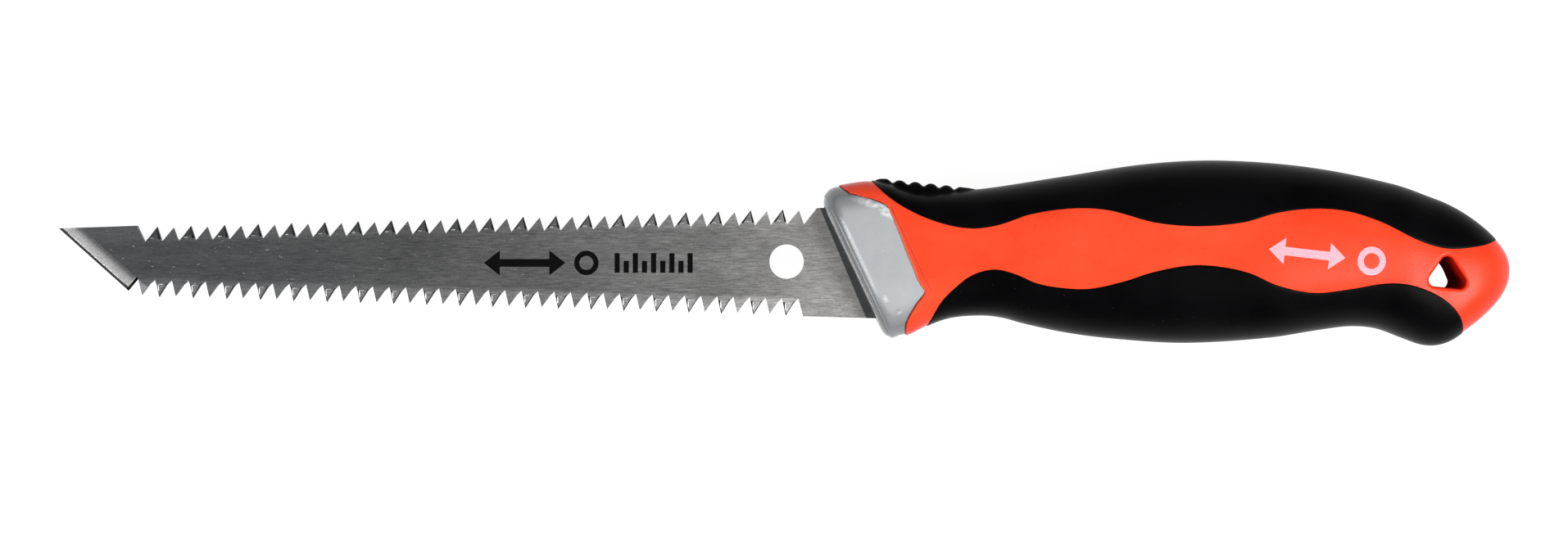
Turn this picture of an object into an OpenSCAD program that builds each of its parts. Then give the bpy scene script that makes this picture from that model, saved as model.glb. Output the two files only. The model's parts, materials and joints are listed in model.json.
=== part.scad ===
// Double-edged drywall saw lying on its side: Z is the thickness direction, the blade points to -X
// and the thumb side is +Y. All sizes are in millimetres.
//
// The shapes are drawn in a working frame: x = 0 where the blade's centre line enters the nose,
// y = 0 on that centre line and z = 0 in the middle of the blade's thickness.

/* [Blade] */
// Thickness of the blade's steel sheet
blade_t = 1.2; // [0.8:0.1:1.6]
// Distance between the first two teeth of a row, about eight to the inch
tooth_pitch = 3.24; // [3.2:0.01:3.26]
// Number of teeth along each edge
tooth_count = 40; // [30:1:40]
// Depth of the teeth on the thumb side, which cut on the pull stroke
pull_tooth_h = 3; // [2.4:0.1:3.2]
// Depth of the teeth on the finger side, which cut on the push stroke
push_tooth_h = 3.4; // [2.6:0.1:3.6]
// Diameter of the round hole near the handle
blade_hole_d = 6.6; // [5:0.1:7]

/* [Tang] */
// Half of the tang's width inside the handle
tang_half_w = 7; // [6:0.5:8]
// How far the tang reaches into the handle
tang_reach = 62; // [50:1:64]
// Diameter of the two cross pins that hold the tang
pin_d = 4; // [3:0.1:5]
// Length of the two cross pins
pin_len = 12; // [9:0.5:14]

/* [Handle] */
// Thickness of the handle at its fattest place
handle_t = 26; // [24:0.5:28]
// Thickness of the soft grips and of the nose's shell
skin_t = 2.3; // [1.8:0.1:2.6]
// Radius of the hang hole's rounded corners
hang_corner_r = 1.3; // [1:0.05:1.4]

/* [Thumb rest] */
// Number of cross ribs
rib_count = 5; // [3:1:5]
// Distance between two ribs
rib_pitch = 3.06; // [2.9:0.02:3.2]
// Radius of a rib's round back
rib_r = 1; // [0.8:0.1:1.2]
// Length of a rib across the handle
rib_len = 12; // [8:1:13]

/* [Hidden] */

point_x = -151.8;      // the knife point, the saw's front end
end_x = 126.4;         // the butt, the saw's rear end
crest_y = 19.25;       // highest place of the thumb side
heel_y = -15.95;       // lowest place of the finger side
// From the working frame to the part's own: the middle of the box, with the handle's side at z = 0
origin_shift = [-(point_x + end_x) / 2, -(crest_y + heel_y) / 2, handle_t / 2];

nose_slant = 0.47;     // the nose's front face leans back by this much per mm of depth
far = 60;              // longer than any cut needs to be
around = 40;           // points around one section of the handle's outside
inner_around = 24;     // and of its inside
border_step = 2.2;     // distance between the points along a border of a grip

fit_gap = 0.05;        // clearance of the tang
loose_gap = 0.075;     // clearance of the cross pins and the locating pegs in the core
pin_x = [22, 48];      // places of the cross pins along the tang
peg_x = [74, 98];      // places of the locating pegs between the two core halves
peg_d = 6;
peg_len = 3;
hole_x = -12.1;        // centre of the blade's round hole
hang_corners = [[110.1, -3.5], [112.6, 0.25], [115.25, -3.95]];

// ---- curves ----

function clamp01(v) = min(max(v, 0), 1);
function fade(v, from, to) = let (t = clamp01((v - from) / (to - from))) t * t * (3 - 2 * t);
function span(p, x, i = 0) = i >= len(p) - 2 || x < p[i + 1][0] ? i : span(p, x, i + 1);
function slope(p, i) =
    let (a = p[max(i - 1, 0)], b = p[min(i + 1, len(p) - 1)]) (b[1] - a[1]) / (b[0] - a[0]);

// Height at x of the smooth curve through the points p
function curve(p, x) =
    let (i = span(p, x), w = p[i + 1][0] - p[i][0], t = clamp01((x - p[i][0]) / w),
         rise = p[i + 1][1] - p[i][1], m0 = slope(p, i) * w, m1 = slope(p, i + 1) * w)
    p[i][1] + m0 * t + (3 * rise - 2 * m0 - m1) * t * t + (m0 + m1 - 2 * rise) * t * t * t;

// The same curve as a row of points
function trace(p, step) =
    let (x0 = p[0][0], x1 = p[len(p) - 1][0], n = ceil((x1 - x0) / step))
    [for (i = [0:n]) let (x = x0 + (x1 - x0) * i / n) [x, curve(p, x)]];

// ---- the handle's outer form ----

// Thumb side and finger side of the handle in side view
thumb_line = [[-8, 13.9], [-2, 14.7], [3, 15.4], [7, 15], [10.4, 13.8], [14, 13.2], [18, 13.3],
              [26, 13.9], [41, 16.2], [57, 18.6], [71, crest_y], [88, 17.95], [104, 14.75],
              [112, 11.95], [118, 9.7], [end_x, 6.5]];
finger_line = [[3, -15.2], [7.5, -15.15], [9.5, -14.45], [11.5, -13.9], [15.4, -11.9], [19.5, -10.6],
               [25, -10.2], [29, -10.6], [33.5, -11.8], [41, -13.4], [50, -14.6], [64, -15.45],
               [80, -14.5], [90, -12.95], [96, -12.25], [101, -12.7], [106, -14.5], [109.5, -15.75],
               [112, heel_y], [115, -15.3], [118, -13.9], [end_x, -10.6]];
// Half of the handle's thickness, drawn for a handle that is 26 mm thick
drawn_t = 26;
side_line = [[-8, 9.6], [12, 9.9], [25, 10.4], [45, 12.1], [58, 12.8], [70, drawn_t / 2],
             [82, 12.8], [104, 11.2], [112, 10], [end_x, 8.8]];

butt_x = 112;          // from here on the handle rounds off towards the butt
butt_y = -1.6;         // height of the butt's rearmost point
function butt(x) = let (t = clamp01((x - butt_x) / (end_x - butt_x))) pow(1 - pow(t, 2.2), 1 / 2.2);

// Rounding of the nose's front edges: what is missing at distance u from the front face
function rounding(u, run, drop) = let (t = 1 - clamp01(u / run)) drop * (1 - sqrt(1 - t * t));

// A station u is a straight line across the side view. It leans like the nose's front face at
// the nose and stands upright further back.
function lean(u) = nose_slant * (1 - fade(u, 14, 48));
function reach(line, u, y = 0, turns = 5) =
    turns == 0 ? y : reach(line, u, curve(line, u - lean(u) * y), turns - 1);
function top_y(u) = butt_y + (reach(thumb_line, u) - rounding(u, 4.4, 3.9) - butt_y) * butt(u);
function low_y(u) = butt_y + (reach(finger_line, u) + rounding(u, 1.8, 1.4) - butt_y) * butt(u);
function side_z(u) =
    (curve(side_line, u) - rounding(u, 3.2, 2.9)) * butt(u) * handle_t / drawn_t;
function squareness(u) = 3.6 - 1.2 * fade(u, 6, 40);

function bend(v, n) = sign(v) * pow(abs(v), 2 / n);
// One ring of points around the handle, pulled in by d
function ring(u, d, count) =
    let (top = top_y(u) - d, low = low_y(u) + d, b = side_z(u) - d, n = squareness(u))
    [for (i = [0:count - 1])
        let (a = 360 * i / count, y = (top + low) / 2 + (top - low) / 2 * bend(cos(a), n))
        [u - lean(u) * y, y, b * bend(sin(a), n)]];

nose_stations = [0, 0.3, 0.9, 1.7, 2.6, 3.6, 4.8];
body_stations = [for (u = [7:3:109]) u];
butt_stations = [for (a = [0:11:88]) butt_x + (end_x - butt_x) * sin(a)];
stations = concat(nose_stations, body_stations, butt_stations);

// A chain of hulls through the stations us, each between two neighbouring rings
module loft(us, d, count) {
    for (i = [0:len(us) - 2])
        hull() polyhedron(concat(ring(us[i], d, count), ring(us[i + 1], d, count)),
                          [[for (k = [0:2 * count - 1]) k]]);
}
module handle_form() loft(stations, 0, around);
// What lies under the skin: it starts behind the nose's front wall and ends before the butt
inner_stations = concat([skin_t, 4.8], [for (u = [7:6:109]) u], [112, 116, 119.5, 122]);
module inner_form() loft(inner_stations, skin_t, inner_around);

// ---- where the handle's colours meet ----

// Lower border of the upper grip and upper border of the lower grip
upper_border = [[3.2, 17.5], [4.2, 15.1], [7.7, 11.8], [12.4, 9], [17.8, 7], [23, 6.2], [28, 6.9],
                [34, 8.9], [42, 10], [48.5, 9.6], [57, 7.3], [65, 6.6], [73.5, 7.3], [80, 9.1],
                [87, 9.9], [93.5, 9.4], [100, 7.3], [107, 3.9], [112.7, 2.4], [119, 2.9], [123, 4],
                [130, 6.5]];
lower_border = [[14, -14], [15.2, -11.2], [17, -7.8], [19.4, -5.2], [22.8, -2.6], [27, -1.5],
                [31, -2.4], [35, -4.1], [40, -5], [45, -5.1], [51, -3.8], [57, -1.9], [64, -0.7],
                [70, -1.1], [75, -2.3], [80, -4.5], [87, -5.9], [94, -5.2], [100, -4.2], [104, -4.2],
                [108, -5.2], [112, -7.2], [115, -10], [116.6, -13], [117.5, -17]];
// Rear border of the metal nose, from the thumb side to the finger side
nose_border = [[-3.5, 17], [-1.9, 14.6], [-0.4, 13.1], [2.8, 12.4], [5.5, 11.5], [6.8, 10.8], [7.2, 10.1],
               [8, 8.2], [9.5, 4.7], [10.9, 1.1], [12.5, -2.4], [14, -5.6], [14, -6.2], [12.4, -8.3],
               [11.3, -10.3], [10.6, -12], [10.6, -13.6], [11, -17]];

module slab(points) translate([0, 0, -far / 2]) linear_extrude(far) polygon(points);
// Everything between a border and a line far beyond the handle's side
module beyond(border, y) slab(concat(
    trace(border, border_step), [[border[len(border) - 1][0], y], [border[0][0], y]]));
module upper_zone() beyond(upper_border, far);
module lower_zone() beyond(lower_border, -far);
module nose_zone() slab(concat(nose_border, [[-20, -17], [-20, 17]]));

// ---- blade ----

// Tips and gullets of a row lie on straight lines that close in towards the point
pull_tip_x = -132.9;   // first tip of the thumb side
push_tip_x = -135.75;  // first tip of the finger side
pull_taper = 0.028;
push_taper = 0.0303;
function pull_gullet_y(x) = 7.4 + pull_taper * x;
function push_gullet_y(x) = -7.4 - push_taper * x;

// A tooth has a long flank and a short flank; every other one is a little lower
pull_run = 2.28;       // length of the long flank along the blade, thumb side
push_run = 2.44;
push_rake = 0.72;      // length of the short flank, finger side
low_tooth = 0.3;
pull_ease = 0.0021;    // the pitch tightens a little towards the handle
push_ease = 0.0019;
function along(first, i, ease) = first + i * tooth_pitch - i * i * ease;
function pull_x(i) = along(pull_tip_x, i, pull_ease);
function push_x(i) = along(push_tip_x, i, push_ease);
function shorter(i) = i % 2 == 0 ? 0 : low_tooth;
function pull_tooth(i) =
    let (x = pull_x(i))
    [[x - pull_run, pull_gullet_y(x)], [x, pull_gullet_y(x) + pull_tooth_h - shorter(i)]];
function push_tooth(i) =
    let (x = push_x(i), g = push_gullet_y(x))
    [[x - push_rake, g], [x, g - push_tooth_h + shorter(i + 1)],
     [x + 0.62 * push_run, g - 0.3 * push_tooth_h]];
pull_end_x = pull_x(tooth_count - 1) + tooth_pitch - pull_run;
push_end_x = push_x(tooth_count - 1) + push_run;

knife_point = [point_x, 6.4];
knife_top = [-136.7, 6.9];
knife_heel = [-138.4, -5.6];
push_row_start = push_tooth(0)[0];
blade_outline = concat(
    [knife_point, knife_top],
    [for (i = [0:tooth_count - 1]) each pull_tooth(i)],
    [[pull_end_x, pull_gullet_y(pull_end_x)], [pull_end_x + 2.5, 10.3], [3, 10.5],
     [6, tang_half_w], [tang_reach - 3, tang_half_w], [tang_reach, tang_half_w - 3],
     [tang_reach, 3 - tang_half_w], [tang_reach - 3, -tang_half_w], [14, -tang_half_w],
     [12.5, -11.1], [push_end_x + 0.9, -10.5], [push_end_x, push_gullet_y(push_end_x)]],
    [for (i = [tooth_count - 1:-1:0], k = [2:-1:0]) push_tooth(i)[k]],
    [knife_heel]);

// Unit vector to the left of the line from a to b
function left(a, b) = [a[1] - b[1], b[0] - a[0]] / norm(b - a);

// Grinds a slope into the +Z face, starting at height z on the line from a to b and getting
// deeper to the left of it, over the given width and a little past both ends
grind_h = 4;           // higher than the steel that a grind takes away
module grind(a, b, width, angle, z = blade_t / 2, past = 0.2) {
    line = b - a;
    translate([a[0], a[1], z]) rotate([0, 0, atan2(line[1], line[0])]) rotate([-angle, 0, 0])
        translate([-past, 0, 0]) cube([norm(line) + 2 * past, width, grind_h]);
}

// The knife edge is ground on both faces: a wide flat band, and a narrow steep one at the edge,
// which turns the corner at the heel
knife_band_w = 3;
knife_band_drop = 0.3;
knife_edge_w = 0.6;
knife_edge_angle = 25;
heel_edge_angle = 40;
knife_past = 4;        // how far the knife's grinds run past its ends
module knife_grind() {
    inward = left(knife_point, knife_heel);
    heel_inward = left(knife_heel, push_row_start);
    band = [for (p = [knife_heel, knife_point]) p + inward * knife_band_w];
    edge = [for (p = [knife_heel, knife_point]) p + inward * knife_edge_w];
    heel = [for (p = [push_row_start, knife_heel]) p + heel_inward * knife_edge_w];
    edge_drop = knife_band_drop * (1 - knife_edge_w / knife_band_w);
    for (side = [0, 1]) mirror([0, 0, side]) {
        grind(band[0], band[1], knife_band_w + knife_past,
              atan2(knife_band_drop, knife_band_w), past = knife_past);
        grind(edge[0], edge[1], knife_edge_w + knife_past, knife_edge_angle,
              z = blade_t / 2 - edge_drop, past = knife_past);
        grind(heel[0], heel[1], knife_edge_w + 0.2, heel_edge_angle, past = 0);
    }
}

// A tooth is ground on one face: a shallow slope from a crease up to its tip, and a steep one
// along each flank. Its outline is given clockwise: gullet, tip, gullet.
tooth_crease = 0.28;   // the crease lies at this share of the tooth's depth
crease_angle = 6;
flank_w = 0.35;
flank_angle = 50;
module tooth_grind(g0, tip, g1) {
    c0 = g0 + (tip - g0) * tooth_crease;
    c1 = g1 + (tip - g1) * tooth_crease;
    grind(c0, c1, pull_tooth_h + 1, crease_angle);
    for (flank = [[c0, tip], [tip, c1]]) {
        inward = -left(flank[0], flank[1]) * flank_w;
        grind(flank[0] + inward, flank[1] + inward, flank_w + 0.5, flank_angle);
    }
}
module pull_grind(i) {
    tooth = pull_tooth(i);
    next = pull_x(i + 1) - pull_run;
    tooth_grind(tooth[0], tooth[1], [next, pull_gullet_y(next)]);
}
module push_grind(i) {
    tooth = push_tooth(i);
    next = tooth[1][0] + push_run;
    tooth_grind([next, push_gullet_y(next)], tooth[1], tooth[0]);
}

module blade() color("silver") translate(origin_shift) difference() {
    translate([0, 0, -blade_t / 2]) linear_extrude(blade_t) polygon(blade_outline);
    translate([hole_x, 0, -blade_t]) cylinder(d = blade_hole_d, h = 2 * blade_t, $fn = 64);
    for (x = pin_x)
        translate([x, 0, -blade_t]) cylinder(d = pin_d + 2 * fit_gap, h = 2 * blade_t, $fn = 48);
    knife_grind();
    for (i = [0:tooth_count - 1]) {
        mirror([0, 0, i % 2]) pull_grind(i);
        mirror([0, 0, (i + 1) % 2]) push_grind(i);
    }
}

// ---- nose cap, core halves, pins, grips ----

// The tang's pocket, a little larger than the tang
module tang_space() translate([0, 0, -blade_t / 2 - fit_gap])
    linear_extrude(blade_t + 2 * fit_gap) offset(delta = fit_gap) polygon(blade_outline);

module nose_cap() color("darkgray") translate(origin_shift) difference() {
    intersection() {
        handle_form();
        nose_zone();
    }
    inner_form();
    tang_space();
}

module hang_hole() hull()
    for (p = hang_corners)
        translate([p[0], p[1], -far / 2]) cylinder(r = hang_corner_r, h = far, $fn = 32);

module core() difference() {
    union() {
        difference() {
            handle_form();
            nose_zone();
            upper_zone();
            lower_zone();
        }
        inner_form();
    }
    tang_space();
    hang_hole();
    for (x = pin_x) translate([x, 0, 0])
        cylinder(d = pin_d + 2 * loose_gap, h = pin_len + 2 * loose_gap, center = true, $fn = 48);
}

module left_core() color("orangered") translate(origin_shift) {
    intersection() {
        core();
        translate([-far, -far, 0]) cube([4 * far, 2 * far, far]);
    }
    for (x = peg_x) translate([x, 0, -peg_len]) cylinder(d = peg_d, h = peg_len + 1, $fn = 32);
}

module right_core() color("orangered") translate(origin_shift) difference() {
    intersection() {
        core();
        translate([-far, -far, -far]) cube([4 * far, 2 * far, far]);
    }
    for (x = peg_x) translate([x, 0, -peg_len - loose_gap])
        cylinder(d = peg_d + 2 * loose_gap, h = far, $fn = 32);
}

module tang_pin(x) color("gray") translate(origin_shift) translate([x, 0, 0])
    cylinder(d = pin_d, h = pin_len, center = true, $fn = 48);
module front_tang_pin() tang_pin(pin_x[0]);
module rear_tang_pin() tang_pin(pin_x[1]);

first_rib = [6.4, 15.75];   // back of the first rib
rib_fall = 0.1;             // the backs get lower by this much per mm
// Balls that round off the bed under the ribs: place along the handle, height and radius
bed = [[6.6, 13.6, 1.2], [21.2, 12.8, 1.2], [25, 13.3, 0.5]];
module thumb_rest() {
    for (i = [0:rib_count - 1])
        hull() for (s = [-1, 1])
            translate([first_rib[0] + i * rib_pitch, first_rib[1] - rib_r - rib_fall * i * rib_pitch,
                       s * (rib_len / 2 - rib_r)]) sphere(rib_r, $fn = 16);
    hull() for (ball = bed, s = [-1, 1])
        translate([ball[0], ball[1], s * (rib_len / 2 - ball[2])]) sphere(ball[2], $fn = 16);
}

module upper_grip() color([0.12, 0.12, 0.13]) translate(origin_shift) difference() {
    union() {
        intersection() {
            handle_form();
            upper_zone();
        }
        thumb_rest();
    }
    inner_form();
}

module lower_grip() color([0.12, 0.12, 0.13]) translate(origin_shift) difference() {
    intersection() {
        handle_form();
        lower_zone();
    }
    inner_form();
}

blade();
nose_cap();
left_core();
right_core();
front_tang_pin();
rear_tang_pin();
upper_grip();
lower_grip();
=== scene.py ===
"""Drywall saw: the looks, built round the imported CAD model."""

import json
import math

import bmesh
import bpy
import numpy as np
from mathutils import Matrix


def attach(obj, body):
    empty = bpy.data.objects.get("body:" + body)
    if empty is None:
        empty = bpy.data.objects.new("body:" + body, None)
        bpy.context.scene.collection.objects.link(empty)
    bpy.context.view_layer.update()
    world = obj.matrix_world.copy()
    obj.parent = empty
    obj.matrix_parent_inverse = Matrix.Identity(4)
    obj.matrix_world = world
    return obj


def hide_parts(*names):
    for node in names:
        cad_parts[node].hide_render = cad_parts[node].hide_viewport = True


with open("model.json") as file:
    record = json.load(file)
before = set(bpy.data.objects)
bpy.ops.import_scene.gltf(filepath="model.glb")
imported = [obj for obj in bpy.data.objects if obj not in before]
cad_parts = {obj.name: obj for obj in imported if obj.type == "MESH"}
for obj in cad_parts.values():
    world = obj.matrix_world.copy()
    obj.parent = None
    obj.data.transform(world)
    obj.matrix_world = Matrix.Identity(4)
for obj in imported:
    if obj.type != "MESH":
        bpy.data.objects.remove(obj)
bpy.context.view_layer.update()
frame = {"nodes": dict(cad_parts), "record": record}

MM = 0.001
# The working frame, in millimetres: x = 0 where the blade's centre line enters the nose, y = 0 on
# that line and z = 0 in the middle of the blade. The blade's hole, a mount, ties it to the row frame.
HOLE_X = -12.1
hole_mount = next(m for m in frame["record"]["mounts"] if m["name"] == "blade_hole")
ORIGIN = np.array(hole_mount["pos_m"]) - np.array([HOLE_X * MM, 0, 0])
BLADE_HALF_T = hole_mount["dims"]["length_mm"] / 2


def to_row(points):
    """Working millimetres to metres in the row frame."""
    return np.asarray(points, float) * MM + ORIGIN


# ---- curves

def fade(v, start, stop):
    t = np.clip((v - start) / (stop - start), 0, 1)
    return t * t * (3 - 2 * t)


def curve(points, x):
    """Height at x of the smooth curve through the points, by the same rule as the CAD model."""
    p = np.array(points, float)
    x = np.asarray(x, float)
    before = np.vstack([p[:1], p[:-1]])
    after = np.vstack([p[1:], p[-1:]])
    slope = (after[:, 1] - before[:, 1]) / (after[:, 0] - before[:, 0])
    i = np.clip(np.searchsorted(p[:, 0], x, side="right") - 1, 0, len(p) - 2)
    width = p[i + 1, 0] - p[i, 0]
    t = np.clip((x - p[i, 0]) / width, 0, 1)
    rise = p[i + 1, 1] - p[i, 1]
    m0, m1 = slope[i] * width, slope[i + 1] * width
    return p[i, 1] + m0 * t + (3 * rise - 2 * m0 - m1) * t**2 + (m0 + m1 - 2 * rise) * t**3


def wander(t, seed):
    """A smooth irregular wave between about -1 and 1, the same on every run."""
    total = 0
    for k, (rate, share) in enumerate([(1.0, 0.5), (2.3, 0.3), (5.1, 0.2)]):
        total = total + share * np.sin(rate * t + 1.7 * seed + 2.1 * k)
    return total


# ---- the handle's form

THUMB_LINE = [[-8, 13.9], [-2, 14.7], [3, 15.4], [7, 15], [10.4, 13.8], [14, 13.2], [18, 13.3],
              [26, 13.9], [41, 16.2], [57, 18.6], [71, 19.25], [88, 17.95], [104, 14.75],
              [112, 11.95], [118, 9.7], [126.4, 6.5]]
FINGER_LINE = [[3, -15.2], [7.5, -15.15], [9.5, -14.45], [11.5, -13.9], [15.4, -11.9], [19.5, -10.6],
               [25, -10.2], [29, -10.6], [33.5, -11.8], [41, -13.4], [50, -14.6], [64, -15.45],
               [80, -14.5], [90, -12.95], [96, -12.25], [101, -12.7], [106, -14.5], [109.5, -15.75],
               [112, -15.95], [115, -15.3], [118, -13.9], [126.4, -10.6]]
SIDE_LINE = [[-8, 9.6], [12, 9.9], [25, 10.4], [45, 12.1], [58, 12.8], [70, 13], [82, 12.8], [104, 11.2],
             [112, 10], [126.4, 8.8]]
UPPER_BORDER = [[3.5, 17.5], [4.45, 15.1], [7.7, 11.8], [12.4, 9], [17.8, 7], [23, 6.2], [28, 6.9],
                [34, 8.9], [42, 10], [48.5, 9.6], [57, 7.3], [65, 6.6], [73.5, 7.3], [80, 9.1],
                [87, 9.9], [93.5, 9.4], [100, 7.3], [107, 3.9], [112.7, 2.4], [119, 2.9], [123, 4],
                [130, 6.5]]
LOWER_BORDER = [[14, -14], [15.2, -11.2], [17, -7.8], [19.4, -5.2], [22.8, -2.6], [27, -1.5],
                [31, -2.4], [35, -4.1], [40, -5], [45, -5.1], [51, -3.8], [57, -1.9], [64, -0.7],
                [70, -1.1], [75, -2.3], [80, -4.5], [87, -5.9], [94, -5.2], [100, -4.2], [104, -4.2],
                [108, -5.2], [112, -7.2], [115, -10], [116.6, -13], [117.5, -17]]
BUTT_X, END_X, BUTT_Y = 112, 126.4, -1.6      # the butt rounds off between the first two
NOSE_SLANT = 0.47                             # on the nose's front face x is -NOSE_SLANT * y


def butt(u):
    t = np.clip((u - BUTT_X) / (END_X - BUTT_X), 0, 1)
    return (1 - t**2.2) ** (1 / 2.2)


def rounding(u, run, drop):
    t = 1 - np.clip(u / run, 0, 1)
    return drop * (1 - np.sqrt(1 - t * t))


def lean(u):
    return NOSE_SLANT * (1 - fade(u, 14, 48))


def reach(line, u):
    """Where the leaning station u meets an outline, as its height."""
    y = 0
    for _ in range(5):
        y = curve(line, u - lean(u) * y)
    return y


def section(u):
    """Middle, half height, half thickness and squareness of the section at station u."""
    top = BUTT_Y + (reach(THUMB_LINE, u) - rounding(u, 4.4, 3.9) - BUTT_Y) * butt(u)
    low = BUTT_Y + (reach(FINGER_LINE, u) + rounding(u, 1.8, 1.4) - BUTT_Y) * butt(u)
    side = (curve(SIDE_LINE, u) - rounding(u, 3.2, 2.9)) * butt(u)
    return (top + low) / 2, (top - low) / 2, side, 3.6 - 1.2 * fade(u, 6, 40)


def on_handle(u, angle, lift=0):
    """Points of the handle's surface, lifted off it by lift. Angle 0 is the thumb side, pi / 2 the +Z
    side and pi the finger side."""
    middle, half, side, n = section(u)
    c, s = np.cos(angle), np.sin(angle)
    y = middle + (half + lift) * np.sign(c) * np.abs(c) ** (2 / n)
    z = (side + lift) * np.sign(s) * np.abs(s) ** (2 / n)
    return np.stack([u - lean(u) * y, y, z], -1)


def side_height(x, y):
    """Height of the +Z surface above the middle plane, where stations stand upright."""
    middle, half, side, n = section(x)
    return side * np.clip(1 - np.abs((y - middle) / half) ** n, 0, 1) ** (1 / n)


# Angles spaced evenly along the section's edge, in a table by station and share of the half round
TABLE_U = np.concatenate([np.arange(0, BUTT_X, 0.5),
                          BUTT_X + (END_X - BUTT_X) * np.sin(np.linspace(0, 1.5707, 60))])
TABLE_V = np.linspace(0, 1, 301)


def even_angles():
    fine = np.linspace(0, math.pi, 1501)
    rows, lengths = [], []
    for u in TABLE_U:
        p = on_handle(np.full(fine.shape, u), fine)
        steps = np.linalg.norm(np.diff(p, axis=0), axis=1)
        run = np.concatenate([[0], np.cumsum(steps)])
        rows.append(np.interp(TABLE_V, run / max(run[-1], 1e-9), fine))
        lengths.append(run[-1])
    return np.array(rows), np.array(lengths)


ANGLES, HALF_ROUND = even_angles()


def angle_at(u, v):
    """The angle at share v of the half round, on station u."""
    i = np.clip(np.searchsorted(TABLE_U, u) - 1, 0, len(TABLE_U) - 2)
    a = np.clip((u - TABLE_U[i]) / (TABLE_U[i + 1] - TABLE_U[i]), 0, 1)
    k = np.clip(v, 0, 1) * (len(TABLE_V) - 1)
    j = np.minimum(k.astype(int), len(TABLE_V) - 2)
    b = k - j
    low = ANGLES[i, j] * (1 - b) + ANGLES[i, j + 1] * b
    high = ANGLES[i + 1, j] * (1 - b) + ANGLES[i + 1, j + 1] * b
    return low * (1 - a) + high * a


def half_round(u):
    return np.interp(u, TABLE_U, HALF_ROUND)


# ---- materials

def new_material(name, color, roughness, metallic=0.0, specular=0.5):
    mat = bpy.data.materials.new(name)
    mat.use_nodes = True
    bsdf = mat.node_tree.nodes["Principled BSDF"]
    bsdf.inputs["Base Color"].default_value = (*color, 1)
    bsdf.inputs["Roughness"].default_value = roughness
    bsdf.inputs["Metallic"].default_value = metallic
    bsdf.inputs["Specular IOR Level"].default_value = specular
    return mat, mat.node_tree, bsdf


def mapped(tree, location=(0, 0, 0), turn=0.0, scale=(1, 1, 1), kind="POINT"):
    """Object coordinates, which are row coordinates, through a mapping."""
    place = tree.nodes.new("ShaderNodeTexCoord")
    mapping = tree.nodes.new("ShaderNodeMapping")
    mapping.vector_type = kind
    mapping.inputs["Location"].default_value = location
    mapping.inputs["Rotation"].default_value = (0, 0, turn)
    mapping.inputs["Scale"].default_value = scale
    tree.links.new(place.outputs["Object"], mapping.inputs["Vector"])
    return mapping.outputs["Vector"]


def noise(tree, per_metre, detail=4.0, roughness=0.5):
    """A noise pattern, its features per metre given along X, Y and Z."""
    tex = tree.nodes.new("ShaderNodeTexNoise")
    tex.inputs["Scale"].default_value = 1
    tex.inputs["Detail"].default_value = detail
    tex.inputs["Roughness"].default_value = roughness
    tree.links.new(mapped(tree, scale=per_metre), tex.inputs["Vector"])
    return tex.outputs["Fac"]


def spot(tree, center, size, turn=0.0):
    """1 at a place on the saw, given in working millimetres, fading to 0 at the ellipse of that size."""
    at = to_row([*center, 0])
    vector = mapped(tree, location=at, turn=math.radians(turn), scale=(size[0] * MM, size[1] * MM, 1),
                    kind="TEXTURE")
    tex = tree.nodes.new("ShaderNodeTexGradient")
    tex.gradient_type = "SPHERICAL"
    tree.links.new(vector, tex.inputs["Vector"])
    return tex.outputs["Fac"]


def distance_along(tree, direction, start, length):
    """Distance in a direction from a place, as a share of a length, all in working mm. A direction and
    a place may leave out their Z."""
    place = tree.nodes.new("ShaderNodeTexCoord")
    dot = tree.nodes.new("ShaderNodeVectorMath")
    dot.operation = "DOT_PRODUCT"
    dot.inputs[1].default_value = (*direction, 0)[:3]
    tree.links.new(place.outputs["Object"], dot.inputs[0])
    first = float(np.dot((*direction, 0)[:3], to_row((*start, 0)[:3])))
    node = tree.nodes.new("ShaderNodeMapRange")
    node.inputs["From Min"].default_value = first
    node.inputs["From Max"].default_value = first + length * MM
    tree.links.new(dot.outputs["Value"], node.inputs["Value"])
    return node.outputs["Result"]


def flatness(tree):
    """1 where the surface lies in the blade's plane, 0 where it stands on edge."""
    geometry = tree.nodes.new("ShaderNodeNewGeometry")
    split = tree.nodes.new("ShaderNodeSeparateXYZ")
    tree.links.new(geometry.outputs["Normal"], split.inputs["Vector"])
    return maths(tree, "ABSOLUTE", split.outputs["Z"], 0.0)


def ramp(tree, value, stops):
    """Maps a value through colour stops [(place, colour), ...]. A colour may be one grey number."""
    node = tree.nodes.new("ShaderNodeValToRGB")
    elements = node.color_ramp.elements
    while len(elements) < len(stops):
        elements.new(0.5)
    for element, (place, color) in zip(elements, stops):
        element.position = place
        element.color = (*color, 1) if isinstance(color, tuple) else (color, color, color, 1)
    tree.links.new(value, node.inputs["Fac"])
    return node.outputs["Color"]


def spread(tree, value, low, high):
    """Maps a value from 0..1 to low..high."""
    node = tree.nodes.new("ShaderNodeMapRange")
    node.inputs["To Min"].default_value = low
    node.inputs["To Max"].default_value = high
    tree.links.new(value, node.inputs["Value"])
    return node.outputs["Result"]


def maths(tree, operation, a, b):
    node = tree.nodes.new("ShaderNodeMath")
    node.operation = operation
    for socket, value in zip(node.inputs, (a, b)):
        if isinstance(value, (int, float)):
            socket.default_value = value
        else:
            tree.links.new(value, socket)
    return node.outputs["Value"]


def mix(tree, kind, factor, a, b):
    """Blends two colours; each input is a socket or a constant."""
    node = tree.nodes.new("ShaderNodeMix")
    node.data_type = "RGBA"
    node.blend_type = kind
    sockets = (node.inputs[0], node.inputs[6], node.inputs[7])
    for socket, value in zip(sockets, (factor, a, b)):
        if isinstance(value, bpy.types.NodeSocket):
            tree.links.new(value, socket)
        elif isinstance(value, tuple):
            socket.default_value = (*value, 1)
        else:
            socket.default_value = value
    return node.outputs[2]


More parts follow.
